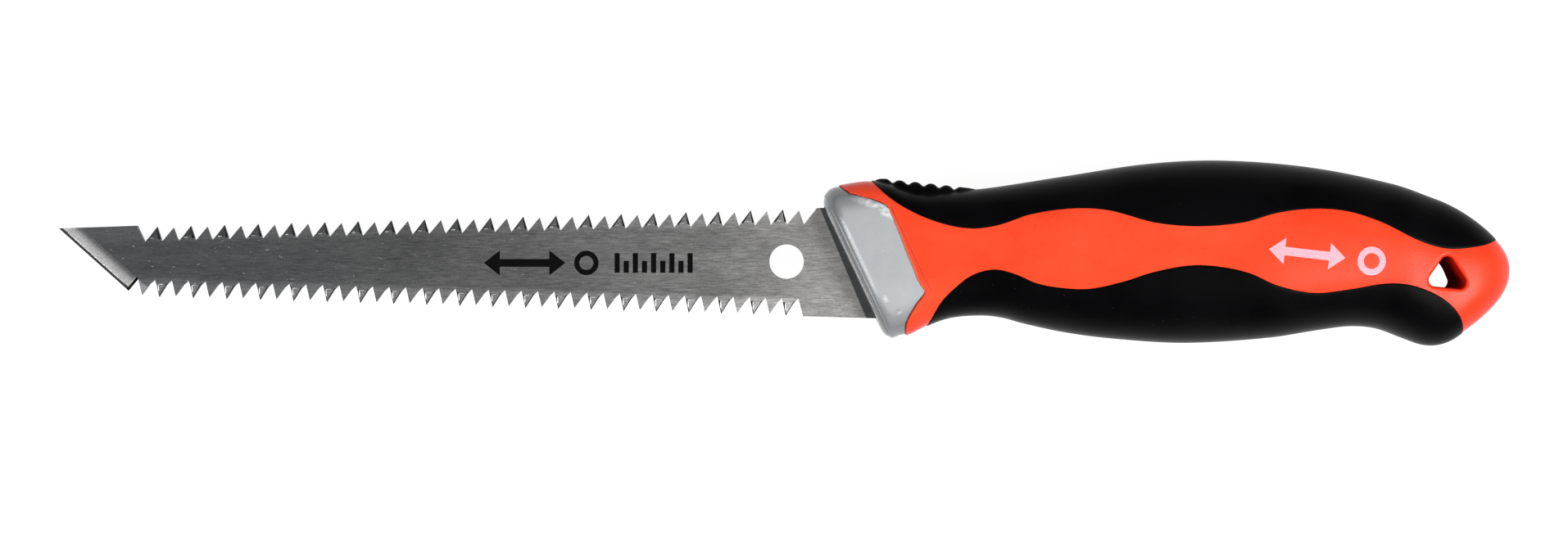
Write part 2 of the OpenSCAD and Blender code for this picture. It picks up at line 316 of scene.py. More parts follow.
def finish_with(tree, bsdf, color, pattern, low, high):
    """Links the colour, and a roughness between low and high that follows a pattern."""
    tree.links.new(color, bsdf.inputs["Base Color"])
    tree.links.new(spread(tree, pattern, low, high), bsdf.inputs["Roughness"])


def bump(tree, bsdf, height, strength, distance):
    node = tree.nodes.new("ShaderNodeBump")
    node.inputs["Strength"].default_value = strength
    node.inputs["Distance"].default_value = distance
    tree.links.new(height, node.inputs["Height"])
    tree.links.new(node.outputs["Normal"], bsdf.inputs["Normal"])


# The rows of teeth, as in the CAD model: place of the first tip and how fast the pitch tightens, how
# the rows close in towards the point, and the sizes of the teeth
PULL_ROW, PUSH_ROW = (-132.9, 0.0021), (-135.75, 0.0019)
PITCH, TEETH, LOW_TOOTH = 3.24, 40, 0.3
PULL_TAPER, PUSH_TAPER = 0.028, 0.0303
PULL_ROOT, PULL_H, PULL_RUN = 7.4, 3, 2.28
PUSH_ROOT, PUSH_H, PUSH_RUN, PUSH_RAKE = -7.4, 3.4, 2.44, 0.72

KNIFE_POINT, KNIFE_HEEL = (-151.8, 6.4), (-138.4, -5.6)
KNIFE_IN = (0.667, 0.745)              # direction from the knife edge into the blade
KNIFE_EDGE, KNIFE_BAND = 0.6, 3.0      # widths of the steep edge and of the whole ground band
KNIFE_DROP = 0.3                       # depth of the band's slope
HEEL_IN = (-0.779, 0.627)              # direction from the knife's heel into the blade
TONE_RUN = 157                         # length over which the steel's painted reflection is laid out
NOSE_SHADOW_DIR = (0.922, 0.387)             # across the painted shadow of the nose: a dark strip on the blade along the nose
NOSE_SHADOW_START = (-1.45, 0)
# Painted shade: the steel's tone on steep faces. Painted shadow: the tone of the nose's strip on the blade
DARK_STEEL, NOSE_SHADOW_TONE = (0.035, 0.037, 0.04), (0.1, 0.105, 0.11)


def tooth_gain(tree, length):
    """How much brighter the steel is made along the teeth, most of all on the finger side."""
    push_side = ramp(tree, distance_along(tree, (-0.03, -1), (0, PUSH_ROOT + 0.5), 2),
                     [(0.0, 0.0), (0.25, 0.3), (0.5, 0.55), (0.75, 0.65)])
    pull_side = ramp(tree, distance_along(tree, (-PULL_TAPER, 1), (0, PULL_ROOT - 0.5), 2),
                     [(0.0, 0.0), (0.6, 0.28)])
    toothed = ramp(tree, length, [(0.895, 1.0), (0.905, 0.0)])
    gain = maths(tree, "MULTIPLY", maths(tree, "ADD", push_side, pull_side), toothed)
    return maths(tree, "ADD", gain, 1.0)


def knife_tones(tree, color, grit):
    """Painted shade on steep ground faces, and a painted reflection laid over the knife's ground band: dark
    at its edge, bright next to it, dark further in.
    """
    steep = ramp(tree, flatness(tree), [(0.8, 1.0), (0.95, 0.0)])
    color = mix(tree, "MIX", steep, color, DARK_STEEL)
    band = distance_along(tree, KNIFE_IN, KNIFE_POINT, KNIFE_BAND * 1.25)
    on_band = ramp(tree, band, [(0.74, 1.0), (0.86, 0.0)])
    band_tone = ramp(tree, band, [(0.0, 0.04), (0.15, 0.05), (0.17, 0.22), (0.45, 0.16), (0.72, 0.05),
                                  (0.86, 0.05)])
    band_tone = mix(tree, "MULTIPLY", 0.5, band_tone, ramp(tree, grit, [(0.3, 0.55), (0.7, 1.0)]))
    # The band ends at the knife's heel, and is darker along the heel's edge. The distance starts 1 mm before
    # it
    before_heel = [place - step for place, step in zip(KNIFE_HEEL, HEEL_IN)]
    heel = distance_along(tree, HEEL_IN, before_heel, 4)
    on_band = maths(tree, "MULTIPLY", on_band, ramp(tree, heel, [(0.24, 0.0), (0.26, 1.0)]))
    heel_edge = ramp(tree, heel, [(0.36, 0.0), (0.4, 1.0)])
    band_tone = mix(tree, "MULTIPLY", 1.0, band_tone, maths(tree, "MAXIMUM", heel_edge, 0.15))
    return mix(tree, "MIX", on_band, color, band_tone)


def steel_material():
    mat, tree, bsdf = new_material("brushed_steel", (0.4, 0.4, 0.4), 0.4, 1.0)
    streaks = noise(tree, (420, 4200, 900), 5, 0.6)
    waves = noise(tree, (50, 420, 100), 4, 0.55)
    grit = noise(tree, (2600, 3800, 2600), 2)
    tone = maths(tree, "ADD", maths(tree, "MULTIPLY", streaks, 0.62), maths(tree, "MULTIPLY", waves, 0.38))
    color = ramp(tree, tone, [(0.3, (0.5, 0.5, 0.5)), (0.5, (0.74, 0.735, 0.73)),
                              (0.7, (1.0, 0.985, 0.97))])
    # Painted reflection of the lamps: cooler and darker towards the point, brightest by the nose, where it
    # also makes up for the shade of the nose
    length = distance_along(tree, (1, 0), KNIFE_POINT, TONE_RUN)
    color = mix(tree, "MULTIPLY", 1.0, color,
                ramp(tree, length, [(0, (0.08, 0.083, 0.088)), (0.15, (0.1, 0.103, 0.107)),
                                    (0.33, (0.15, 0.153, 0.157)), (0.5, (0.22, 0.222, 0.225)),
                                    (0.8, (0.5, 0.5, 0.5)), (0.97, (1.0, 0.99, 0.98))]))
    color = mix(tree, "MULTIPLY", 1.0, color, ramp(tree, grit, [(0.3, 0.86), (0.7, 1.1)]))
    cloud = noise(tree, (90, 130, 90), 3)
    color = mix(tree, "MULTIPLY", 1.0, color, ramp(tree, cloud, [(0.35, 0.84), (0.6, 1.0)]))
    color = mix(tree, "MULTIPLY", 1.0, color, tooth_gain(tree, length))
    specks = ramp(tree, noise(tree, (1000, 2500, 1200), 2), [(0.7, 0.0), (0.76, 1.0)])
    color = mix(tree, "MIX", maths(tree, "MULTIPLY", specks, 0.38), color, (0.8, 0.8, 0.8))
    color = knife_tones(tree, color, grit)
    # Painted shadow of the nose: a dark strip on the blade beside it
    nose_shadow = distance_along(tree, NOSE_SHADOW_DIR, NOSE_SHADOW_START, 1)
    color = mix(tree, "MIX", ramp(tree, nose_shadow, [(0.0, 0.0), (0.12, 0.9)]), color, NOSE_SHADOW_TONE)
    finish_with(tree, bsdf, color, streaks, 0.3, 0.5)
    bump(tree, bsdf, streaks, 0.4, 0.00005)
    return mat


# Painted highlight: a bright steel for thin lines where the blade's edges catch the light
def highlight_steel_material():
    mat, tree, bsdf = new_material("painted_highlight_steel", (0.9, 0.9, 0.9), 0.3, 0.6)
    wear = noise(tree, (1500, 3000, 1500), 3)
    finish_with(tree, bsdf, ramp(tree, wear, [(0.35, 0.5), (0.6, 0.95)]), wear, 0.25, 0.4)
    return mat


# The hang hole's border keeps this distance from a small triangle
HANG_CORNERS = [[110.2, -3.45], [112.5, -0.3], [114.9, -3.9]]
HANG_R = 1.25
# Specks of dirt beside the hang hole: place, size, direction in degrees
DIRT = [((116.7, -5.8), (0.32, 0.16), 20), ((117.5, -5.45), (0.2, 0.12), 40),
        ((116.5, -6.7), (0.17, 0.13), 0)]


def hole_shade(tree, color):
    """Painted shade: turns the colour deep red down in the hang hole, lighter towards the +Z rim, with a pale
    line where the halves meet: a flash line with a painted highlight on it.
    """
    middle = [sum(c) / 3 for c in zip(*HANG_CORNERS)]
    near_hole = ramp(tree, spot(tree, middle, (6, 6)), [(0.08, 0.0), (0.2, 1.0)])
    wall = ramp(tree, flatness(tree), [(0.1, 1.0), (0.7, 0.0)])
    depth = distance_along(tree, (0, 0, 1), (0, 0, -10), 20)
    hole_shade_color = ramp(tree, depth, [(0.1, (0.1, 0.001, 0.001)), (0.494, (0.14, 0.001, 0.001)),
                                    (0.5, (0.5, 0.06, 0.04)), (0.506, (0.17, 0.002, 0.001)),
                                    (0.9, (0.5, 0.014, 0.004))])
    return mix(tree, "MIX", maths(tree, "MULTIPLY", near_hole, wall), color, hole_shade_color)


def orange_material(name, specular):
    mat, tree, bsdf = new_material(name, (0.98, 0.075, 0.025), 0.34, specular=specular)
    flow = noise(tree, (60, 110, 60), 4, 0.6)
    color = ramp(tree, flow, [(0.3, (0.93, 0.062, 0.018)), (0.5, (0.98, 0.075, 0.025)),
                              (0.72, (1.0, 0.09, 0.036))])
    grain = ramp(tree, noise(tree, (1900, 4200, 3000), 3), [(0.3, 0.9), (0.6, 1.0)])
    color = mix(tree, "MULTIPLY", 1.0, color, grain)
    dust = ramp(tree, noise(tree, (1700, 1700, 1700), 2), [(0.24, 0.55), (0.31, 1.0)])
    color = mix(tree, "MULTIPLY", 0.5, color, dust)
    for center, size, turn in DIRT:
        speck = ramp(tree, spot(tree, center, size, turn), [(0.1, 0.0), (0.5, 1.0)])
        color = mix(tree, "MIX", speck, color, (0.12, 0.01, 0.01))
    # Painted shade: deeper red where the moulding turns away to its sides, and towards the butt
    side_shade = ramp(tree, flatness(tree), [(0.3, 1.0), (0.97, 0.0)])
    color = mix(tree, "MIX", side_shade, color, (0.72, 0.02, 0.004))
    butt_shade = ramp(tree, distance_along(tree, (1, 0), (50, 0), 70), [(0.0, 0.0), (1.0, 1.0)])
    color = mix(tree, "MULTIPLY", butt_shade, color, (1.0, 0.72, 0.55))
    finish_with(tree, bsdf, hole_shade(tree, color), noise(tree, (500, 500, 500), 3), 0.25, 0.37)
    bump(tree, bsdf, noise(tree, (2600, 2600, 2600), 3), 0.4, 0.00005)
    return mat


def rubber_material():
    mat, tree, bsdf = new_material("soft_black", (0.003, 0.003, 0.0035), 0.36, specular=0.038)
    cloud = noise(tree, (60, 60, 60), 4, 0.6)
    color = ramp(tree, cloud, [(0.3, (0.001, 0.001, 0.0013)), (0.7, (0.003, 0.003, 0.0035))])
    dust = ramp(tree, noise(tree, (2300, 2900, 2500), 2), [(0.75, 0.0), (0.8, 0.05)])
    color = mix(tree, "ADD", 1.0, color, dust)
    finish_with(tree, bsdf, color, noise(tree, (900, 900, 900), 3), 0.3, 0.42)
    bump(tree, bsdf, noise(tree, (5000, 5000, 5000), 2), 0.2, 0.00003)
    return mat


# Whitish smears and scuffs on the nose: middle, size, direction in degrees, strength. The last two, low on
# the nose, also stand in for glare there: painted highlight
SMEARS_AND_GLARE = [((3.2, 11.2), (5.2, 1.5), -14, 1.0), ((7.0, 9.3), (3.4, 1.9), -35, 1.0),
          ((6.5, -6.9), (1.1, 2.4), 28, 0.6), ((9.2, -9.6), (0.9, 1.1), 10, 0.5)]


def silver_material():
    mat, tree, bsdf = new_material("silver_plastic", (0.48, 0.5, 0.53), 0.22, 0.05, 0.6)
    cloud = noise(tree, (150, 150, 150), 5, 0.65)
    color = ramp(tree, cloud, [(0.3, (0.41, 0.432, 0.455)), (0.7, (0.465, 0.485, 0.503))])
    flecks = noise(tree, (1100, 1500, 1100), 4, 0.7)
    patches = 0.0
    for center, size, turn, strength in SMEARS_AND_GLARE:
        patch_here = maths(tree, "MULTIPLY", spot(tree, center, size, turn), strength)
        patches = maths(tree, "MAXIMUM", patches, patch_here)
    smear_and_glare = ramp(tree, maths(tree, "MULTIPLY", patches, flecks), [(0.16, 0.0), (0.34, 1.0)])
    color = mix(tree, "MIX", maths(tree, "MULTIPLY", smear_and_glare, 0.7), color, (0.85, 0.87, 0.88))
    # Painted shade: darker where the moulding turns away to its sides
    color = mix(tree, "MULTIPLY", 1.0, color,
                ramp(tree, flatness(tree), [(0.1, 0.35), (0.75, 0.43), (0.93, 0.68), (0.98, 1.0)]))
    finish_with(tree, bsdf, color, noise(tree, (700, 700, 700), 3), 0.2, 0.33)
    bump(tree, bsdf, noise(tree, (1800, 1800, 1800), 3), 0.08, 0.00004)
    return mat


def ink_material(name, color, roughness, specular=0.3):
    mat, tree, bsdf = new_material(name, color, roughness, specular=specular)
    wear = noise(tree, (2500, 2500, 2500), 3)
    dark, light = tuple(c * 0.88 for c in color), tuple(min(c * 1.1, 1) for c in color)
    finish_with(tree, bsdf, ramp(tree, wear, [(0.35, dark), (0.65, light)]), wear, roughness - 0.1,
                roughness + 0.1)
    return mat


STEEL = steel_material()
HIGHLIGHT_STEEL = highlight_steel_material()
ORANGE = orange_material("orange_plastic", 0.17)
HOLE_WALL = orange_material("orange_hole_wall", 0.0)
RUBBER = rubber_material()
SILVER = silver_material()
BLACK_INK = ink_material("black_ink", (0.003, 0.003, 0.003), 0.5, 0.04)
PALE_INK = ink_material("pale_ink", (0.84, 0.43, 0.51), 0.5)
# Painted shadow along the core's front edge
SEAM_SHADOW = ink_material("painted_seam_shadow", (0.13, 0.016, 0.01), 0.6)
# Painted shade in the crease behind the tongue
CREASE_SHADE = ink_material("painted_crease_shade", (0.6, 0.038, 0.012), 0.5)
FLASH_TONE = ink_material("flash_tone", (0.62, 0.15, 0.08), 0.35)


# ---- building meshes

MERGE_WITHIN = 0.002


def add_piece(name, points, faces, mat, slot, replaced=(), crease=50, merge=True):
    """A smooth-shaded mesh piece on the saw's one body, from points in working millimetres. With merge,
    points that lie together become one. Edges that turn by more than crease degrees stay sharp."""
    mesh = bpy.data.meshes.new(name)
    mesh.from_pydata(to_row(points).tolist(), [], [list(map(int, f)) for f in faces])
    bm = bmesh.new()
    bm.from_mesh(mesh)
    if merge:
        bmesh.ops.remove_doubles(bm, verts=bm.verts, dist=MERGE_WITHIN * MM)
    bmesh.ops.recalc_face_normals(bm, faces=bm.faces)
    bm.to_mesh(mesh)
    bm.free()
    mesh.shade_smooth()
    mesh.set_sharp_from_angle(angle=math.radians(crease))
    mesh.materials.append(mat)
    piece = bpy.data.objects.new(name, mesh)
    bpy.context.scene.collection.objects.link(piece)
    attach(piece, "root")
    if replaced:
        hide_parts(*replaced)
    return piece


class Sheet:
    """Collects grids of points and their faces for one mesh."""

    def __init__(self):
        self.points, self.faces, self.count = [], [], 0

    def add_points(self, points):
        flat = np.asarray(points, float).reshape(-1, 3)
        ids = np.arange(self.count, self.count + len(flat))
        self.points.append(flat)
        self.count += len(flat)
        return ids

    def grid(self, points, closed=False, skip=None):
        """Points is rows x columns x 3. closed joins the last column to the first."""
        rows, cols = points.shape[:2]
        ids = self.add_points(points).reshape(rows, cols)
        if closed:
            ids = np.hstack([ids, ids[:, :1]])
        for i in range(rows - 1):
            for j in range(ids.shape[1] - 1):
                if skip is None or not skip[i, j]:
                    self.faces.append((ids[i, j], ids[i, j + 1], ids[i + 1, j + 1], ids[i + 1, j]))
        return ids

    def band(self, previous, points):
        """Joins a closed row of points to the row before it, and gives the new row's numbers."""
        ids = self.add_points(points)
        for k in range(len(ids)):
            m = (k + 1) % len(ids)
            self.faces.append((previous[k], previous[m], ids[m], ids[k]))
        return ids

    def build(self, name, *args, **kwargs):
        return add_piece(name, np.vstack(self.points), self.faces, *args, **kwargs)


# ---- orange core, in two halves

# Where the core's front edge lies, as station by height: a tongue of the nose reaches back between
# the thumb side and the finger side
CORE_FRONT = [[-15.5, 4], [-13.6, 4.2], [-12, 5], [-10.3, 6.5], [-8.3, 8.6], [-6.4, 10.9], [-5.9, 11.3],
              [-5.4, 11.25], [-3.6, 10.95], [-1, 11.2], [1.5, 11.3], [4.7, 11.6], [8.2, 11.8], [10.6, 11.9],
              [10.9, 11.7], [11.5, 10.6], [12.1, 9.3], [12.5, 8], [13.1, 5.9], [14.6, 4.9], [16.5, 4.8]]
TONGUE_U = 11          # about where the tongue ends
CREASE_U = 12.45       # a fine groove runs behind the tongue's end
SETTLED_U = 22         # from here on the grid's rows are plain stations
RIM_R = 0.85           # rounding of the hang hole's rim
HOLE_FIELD_X, HOLE_FIELD_Y = (107.4, 118.6), (3.6, -8)      # the hole and its rings fill this field
HOLE_FLARE, HOLE_FLARE_DIR = 1.0, np.array([0.85, 0.53])    # how far the -Z half's wall opens
FRONT_DROP, FRONT_RUN = 0.12, 0.2      # rounding of the core's front edge
HOLLOW = 0.1           # between the front edge and the groove
CREASE_DEPTH, CREASE_W = 0.08, 0.1
SEAM_DEPTH, SEAM_W = 0.09, 0.09
FRONT_TURN_IN, SEAM_TURN_IN = 1.2, 0.05      # in millimetres, and as a share of the way to the middle


def hang_outline():
    """The hang hole's rounded triangle: its middle, and its radius by direction."""
    corners = np.array(HANG_CORNERS)
    middle = corners.mean(0)
    turn = np.linspace(-math.pi, math.pi, 721)
    rays = np.stack([np.cos(turn), np.sin(turn)], -1)
    best = np.zeros(len(turn))
    for radius in np.arange(0.4, 6, 0.01):
        p = middle + rays * radius
        best = np.where(distance_to_triangle(p, corners) < HANG_R, radius, best)
    return middle, turn, best


def distance_to_triangle(p, corners):
    """Distance from points to a triangle, 0 inside it."""
    nearest, inside = np.full(len(p), 1e9), np.ones(len(p), bool)
    for k in range(3):
        a, b = corners[k], corners[(k + 1) % 3]
        along = b - a
        t = np.clip((p - a) @ along / (along @ along), 0, 1)
        nearest = np.minimum(nearest, np.linalg.norm(p - a - t[:, None] * along, axis=1))
        cross = along[0] * (p[:, 1] - a[1]) - along[1] * (p[:, 0] - a[0])
        inside &= cross < 0
    return np.where(inside, 0, nearest)


def core_stations(v, side):
    """Where the core's front edge lies for each share v of the half round, and all rows of stations."""
    start = np.full(len(v), 8.0)
    for _ in range(12):
        y = on_handle(start, angle_at(start, v))[:, 1]
        start = (start + np.interp(y, *np.transpose(CORE_FRONT))) / 2
    start = start + (0.09 + 0.05 * fade(y, 9, 12)) * wander(y * 3.7 + side, 1)

    near = np.concatenate([np.linspace(0, 0.4, 12), np.arange(0.45, 1.8, 0.045), np.linspace(1.9, 10, 26)])
    shares = np.append(near / (SETTLED_U - TONGUE_U), 1)
    rows = [start + (SETTLED_U - start) * t for t in shares]
    rest = np.concatenate([np.arange(SETTLED_U + 0.6, 106, 0.7), np.arange(106, BUTT_X, 0.45),
                           BUTT_X + (END_X - BUTT_X) * np.sin(np.linspace(0, math.pi / 2, 50))])
    rows += [np.full(len(v), u) for u in rest]
    return start, np.array(rows)


def core_lift(u, v, start):
    """How far the core's skin lies off the handle's form: its rounded front edge, its hollow behind
    the tongue, the crease there and the seam between the halves."""
    lift = -FRONT_DROP * (1 - np.sqrt(1 - (1 - np.clip((u - start) / FRONT_RUN, 0, 1)) ** 2))
    y = on_handle(u, angle_at(u, v))[..., 1]
    tongue = fade(y, -6.2, -5.2) * (1 - fade(y, 10.4, 11.2))
    lift -= HOLLOW * tongue * (1 - fade(u, CREASE_U - CREASE_W, CREASE_U + CREASE_W))
    lift -= CREASE_DEPTH * tongue * np.exp(-(((u - CREASE_U) / CREASE_W) ** 2))
    from_seam = np.minimum(v, 1 - v) * half_round(u)
    lift -= SEAM_DEPTH * np.exp(-((from_seam / SEAM_W) ** 2)) * np.clip(butt(u) * 4, 0, 1)
    return np.maximum(lift, -0.9 * section(u)[2])


def hole_rings(outer, side):
    """Rings from an opening in the skin to the hang hole, over its rounded rim and down its wall."""
    middle, turn, radius = hang_outline()
    aim = outer - middle
    reach_to = np.interp(np.arctan2(aim[:, 1], aim[:, 0]), turn, radius)
    edge = middle + aim / np.linalg.norm(aim, axis=1)[:, None] * reach_to[:, None]
    gap = np.linalg.norm(outer - edge, axis=1)
    out = (outer - edge) / gap[:, None]
    rings = []
    for t in np.linspace(1, 0, 12)[1:]:
        xy = edge + out * (RIM_R + (gap - RIM_R) * t)[:, None]
        rings.append(np.column_stack([xy, side_height(xy[:, 0], xy[:, 1])]))
    for a in np.linspace(0, math.pi / 2, 8)[1:]:
        xy = edge + out * RIM_R * (1 - math.sin(a))
        z = side_height(xy[:, 0], xy[:, 1]) - RIM_R * (1 - math.cos(a))
        rings.append(np.column_stack([xy, z]))
    # The wall goes down to the middle plane, and on the -Z half it opens towards the butt
    top = rings[-1][:, 2]
    flare = HOLE_FLARE * np.clip(out @ HOLE_FLARE_DIR, 0, 1) * (side < 0)
    for ring, share in zip(rings, np.minimum(np.arange(len(rings)) / 11, 1)):
        ring[:, :2] += out * (flare * share)[:, None]
    for t in np.linspace(0, 1, 12)[1:]:
        xy = edge + out * (flare * (1 - t) ** 2)[:, None]
        rings.append(np.column_stack([xy, top * (1 - t) + 0.3 * t]))
    # A thin line of flash stands on the wall where the halves meet
    flash = 0.12 + 0.08 * wander(np.arange(len(edge)) * 0.7, 3)
    for z, share in ((0.12, 0.7), (0.03, 1.0)):
        rings.append(np.column_stack([edge - out * (flash * share)[:, None], np.full(len(edge), z)]))
    return rings


def core_half(name, side, replaced):
    """One half of the orange core: side is 1 for +Z and -1 for -Z."""
    sheet = Sheet()
    near_seam = np.array([0, 0.0012, 0.0028, 0.005, 0.008, 0.012])
    v = np.concatenate([near_seam, np.linspace(0.016, 0.984, 230), 1 - near_seam[::-1]])
    start, u = core_stations(v, side)
    vv = np.broadcast_to(v, u.shape)
    skin = on_handle(u, angle_at(u, vv), core_lift(u, vv, start))
    skin[..., 2] *= side

    # The grid leaves an opening for the hang hole and the rings round it
    i0, i1 = np.searchsorted(u[:, 0], HOLE_FIELD_X)
    row_y = skin[(i0 + i1) // 2, :, 1]
    j0, j1 = [np.argmax(row_y < y) for y in HOLE_FIELD_Y]
    skip = np.zeros(u.shape, bool)
    skip[i0:i1, j0:j1] = True
    ids = sheet.grid(skin, skip=skip)

    # The front edge turns in under the skin, and so do both seams
    under = on_handle(u[0], angle_at(u[0], v), -FRONT_TURN_IN)
    under[:, 2] *= side
    under_ids = sheet.add_points(under)
    for j in range(len(v) - 1):
        sheet.faces.append((under_ids[j], under_ids[j + 1], ids[0, j + 1], ids[0, j]))
    for j in (0, -1):
        inner = skin[:, j].copy()
        inner[:, 1] += (BUTT_Y - inner[:, 1]) * SEAM_TURN_IN
        inner_ids = sheet.add_points(inner)
        for i in range(len(inner_ids) - 1):
            sheet.faces.append((inner_ids[i], inner_ids[i + 1], ids[i + 1, j], ids[i, j]))

    loop = ([(i, j0) for i in range(i0, i1)] + [(i1, j) for j in range(j0, j1)]
            + [(i, j1) for i in range(i1, i0, -1)] + [(i0, j) for j in range(j1, j0, -1)])
    previous = np.array([ids[i, j] for i, j in loop])
    outer = np.array([skin[i, j, :2] for i, j in loop])
    for ring in hole_rings(outer, side):
        previous = sheet.band(previous, ring * [1, 1, side])
    return sheet.build(name, ORANGE, "core_orange", replaced=replaced)


def dull_hole(piece):
    """Gives the hang hole's upright wall its own dull finish."""
    mesh = piece.data
    mesh.materials.append(HOLE_WALL)
    middle = to_row([*np.mean(HANG_CORNERS, axis=0), 0])
    for face in mesh.polygons:
        away = math.hypot(face.center[0] - middle[0], face.center[1] - middle[1])
        if away < 5 * MM and abs(face.normal[2]) < 0.3:
            face.material_index = 1


dull_hole(core_half("core_half_left", 1, ["left_core"]))
dull_hole(core_half("core_half_right", -1, ["right_core"]))


# ---- soft grips

GRIP_PROUD = 0.16      # the soft grips stand this far above the core
GRIP_EDGE = 0.55       # and round off over this distance
GRIP_TURN_IN = 0.7     # their borders turn in to this depth

# The thumb rest: a swell at its front, then a bed that falls gently to the rear and carries four
# ribs and a wedge
REST_SWELL = [[4.3, 14.8], [4.6, 15.35], [5.5, 15.78], [7.05, 15.78], [7.4, 15.56], [8, 15.05]]
BED_X, BED_Y, BED_FALL, BED_END = 8.3, 15.0, 0.106, 20.05
RIB_X, RIB_PITCH, RIB_HALF_W, RIB_H = 9.53, 2.97, 1.25, 0.63
REST_WEDGE = [[BED_END, 0], [20.6, 0.47], [20.9, 0.6], [22.5, 0.61], [24.5, 0.5], [24.9, -2]]
# Seen from the thumb side it is part of an oval, REST_W wide to each side, with rounded borders
REST_FROM, REST_TO, REST_W = 4.3, 25, 5.7
OVAL_X, OVAL_R = 13.5, 13
REST_ROUND, REST_DROP = 1.3, 1.6


def thumb_rest(x, z):
    """Height of the ribbed thumb rest, very low outside it."""
    off = (x - RIB_X + RIB_PITCH / 2) % RIB_PITCH - RIB_PITCH / 2
    ribs = RIB_H * np.clip(1 - np.abs(off / RIB_HALF_W) ** 2.2, 0, 1)
    half_w = REST_W * np.sqrt(np.clip(1 - ((x - OVAL_X) / OVAL_R) ** 2, 0, 1))
    ends = np.clip((np.abs(z) - (half_w - REST_ROUND)) / REST_ROUND, 0, 1)
    fall = 1 - np.sqrt(np.clip(1 - ends * ends, 0, 1))
    on_bed = np.where(x < BED_END, ribs * (1 - 0.5 * ends), np.interp(x, *np.transpose(REST_WEDGE)))
    bed = BED_Y - BED_FALL * (x - BED_X) + on_bed
    height = np.where(x < BED_X, curve(REST_SWELL, x), bed) - REST_DROP * fall
    return np.where((np.abs(z) < half_w) & (x > REST_FROM) & (x < REST_TO), height, -99)


def border_share(u, border, upper):
    """Share of the half round, from the grip's middle line, at which the grip ends on station u."""
    v = np.linspace(0, 1, 2001)
    p = on_handle(np.full(v.shape, u), angle_at(np.full(v.shape, u), v))
    over = p[:, 1] - curve(border, p[:, 0])
    if not upper:
        over, v = -over[::-1], 1 - v[::-1]
    if over[0] <= 0:
        return 0.0
    k = np.argmax(over <= 0)
    return v[k - 1] + (v[k] - v[k - 1]) * over[k - 1] / (over[k - 1] - over[k])


def soft_grip(name, border, upper, stations, replaced):
    """A soft grip: a skin over the core whose edge follows its border and rounds down to the core."""
    reach_v = np.array([border_share(u, border, upper) for u in stations])
    keep = reach_v > 1e-4
    first, last = np.argmax(keep), len(keep) - 1 - np.argmax(keep[::-1])
    stations, reach_v = stations[first:last + 1], reach_v[first:last + 1]
    across = np.linspace(0, 1, 72) ** 1.7              # dense at the border
    v = reach_v[:, None] * (1 - across[None, :])
    u = np.broadcast_to(stations[:, None], v.shape)
    from_border = (reach_v[:, None] - v) * half_round(u)
    lift = GRIP_PROUD * np.sqrt(1 - (1 - np.clip(from_border / GRIP_EDGE, 0, 1)) ** 2)
    lift = np.hstack([np.full((len(stations), 1), -GRIP_TURN_IN), lift])
    u = np.hstack([u[:, :1], u])
    v = np.hstack([v[:, :1], v])
    angle = angle_at(u, v if upper else 1 - v)
    points = on_handle(u, angle, lift)
    if upper:
        rest = thumb_rest(points[..., 0], points[..., 2])
        points[..., 1] = np.maximum(points[..., 1], rest)
    mirrored = points[:, -2::-1].copy()
    mirrored[..., 2] *= -1
    sheet = Sheet()
    sheet.grid(np.concatenate([points, mirrored], axis=1))
    return sheet.build(name, RUBBER, "soft_grip", replaced=replaced, crease=60)


upper_stations = np.concatenate([np.arange(11, 34, 0.14), np.arange(34, 118, 0.7),
                                 np.arange(118, 125.5, 0.12)])
lower_stations = np.concatenate([np.arange(8, 22, 0.15), np.arange(22, 104, 0.7),
                                 np.arange(104, 118, 0.15)])
soft_grip("upper_soft_grip", UPPER_BORDER, True, upper_stations, ["upper_grip"])
soft_grip("lower_soft_grip", LOWER_BORDER, False, lower_stations, ["lower_grip"])


# ---- nose

NOSE_DOWN = 0.28       # the nose lies this far below the core's skin
RIM_U, RIM_STEP = 0.95, 0.16           # a small step runs round the nose behind its front edge
RIM_GROOVE, RIM_LIP = 0.05, 0.07       # with a groove before it and a lip behind it
SLOT_HALF_W, SLOT_HALF_T = 10.55, 0.75
# Small dents and pimples in the nose: x, y, radius, depth
DENTS = [(6.4, 1.85, 0.35, 0.07), (6.75, 2.1, 0.25, -0.05), (9.0, -9.5, 0.3, 0.05), (9.5, -9.9, 0.25, -0.05),
         (5.9, -5.6, 0.25, -0.03), (6.3, -6.6, 0.25, -0.04), (6.7, -7.7, 0.25, 0.04), (7.1, -8.2, 0.2, -0.03),
         (6.9, 9.0, 0.35, -0.1), (8.4, 8.3, 0.3, -0.08), (9.4, 6.3, 0.3, -0.08), (4.6, 10.9, 0.4, -0.1),
         (3.1, 11.6, 0.35, -0.08), (5.8, 10.3, 0.3, 0.08)]


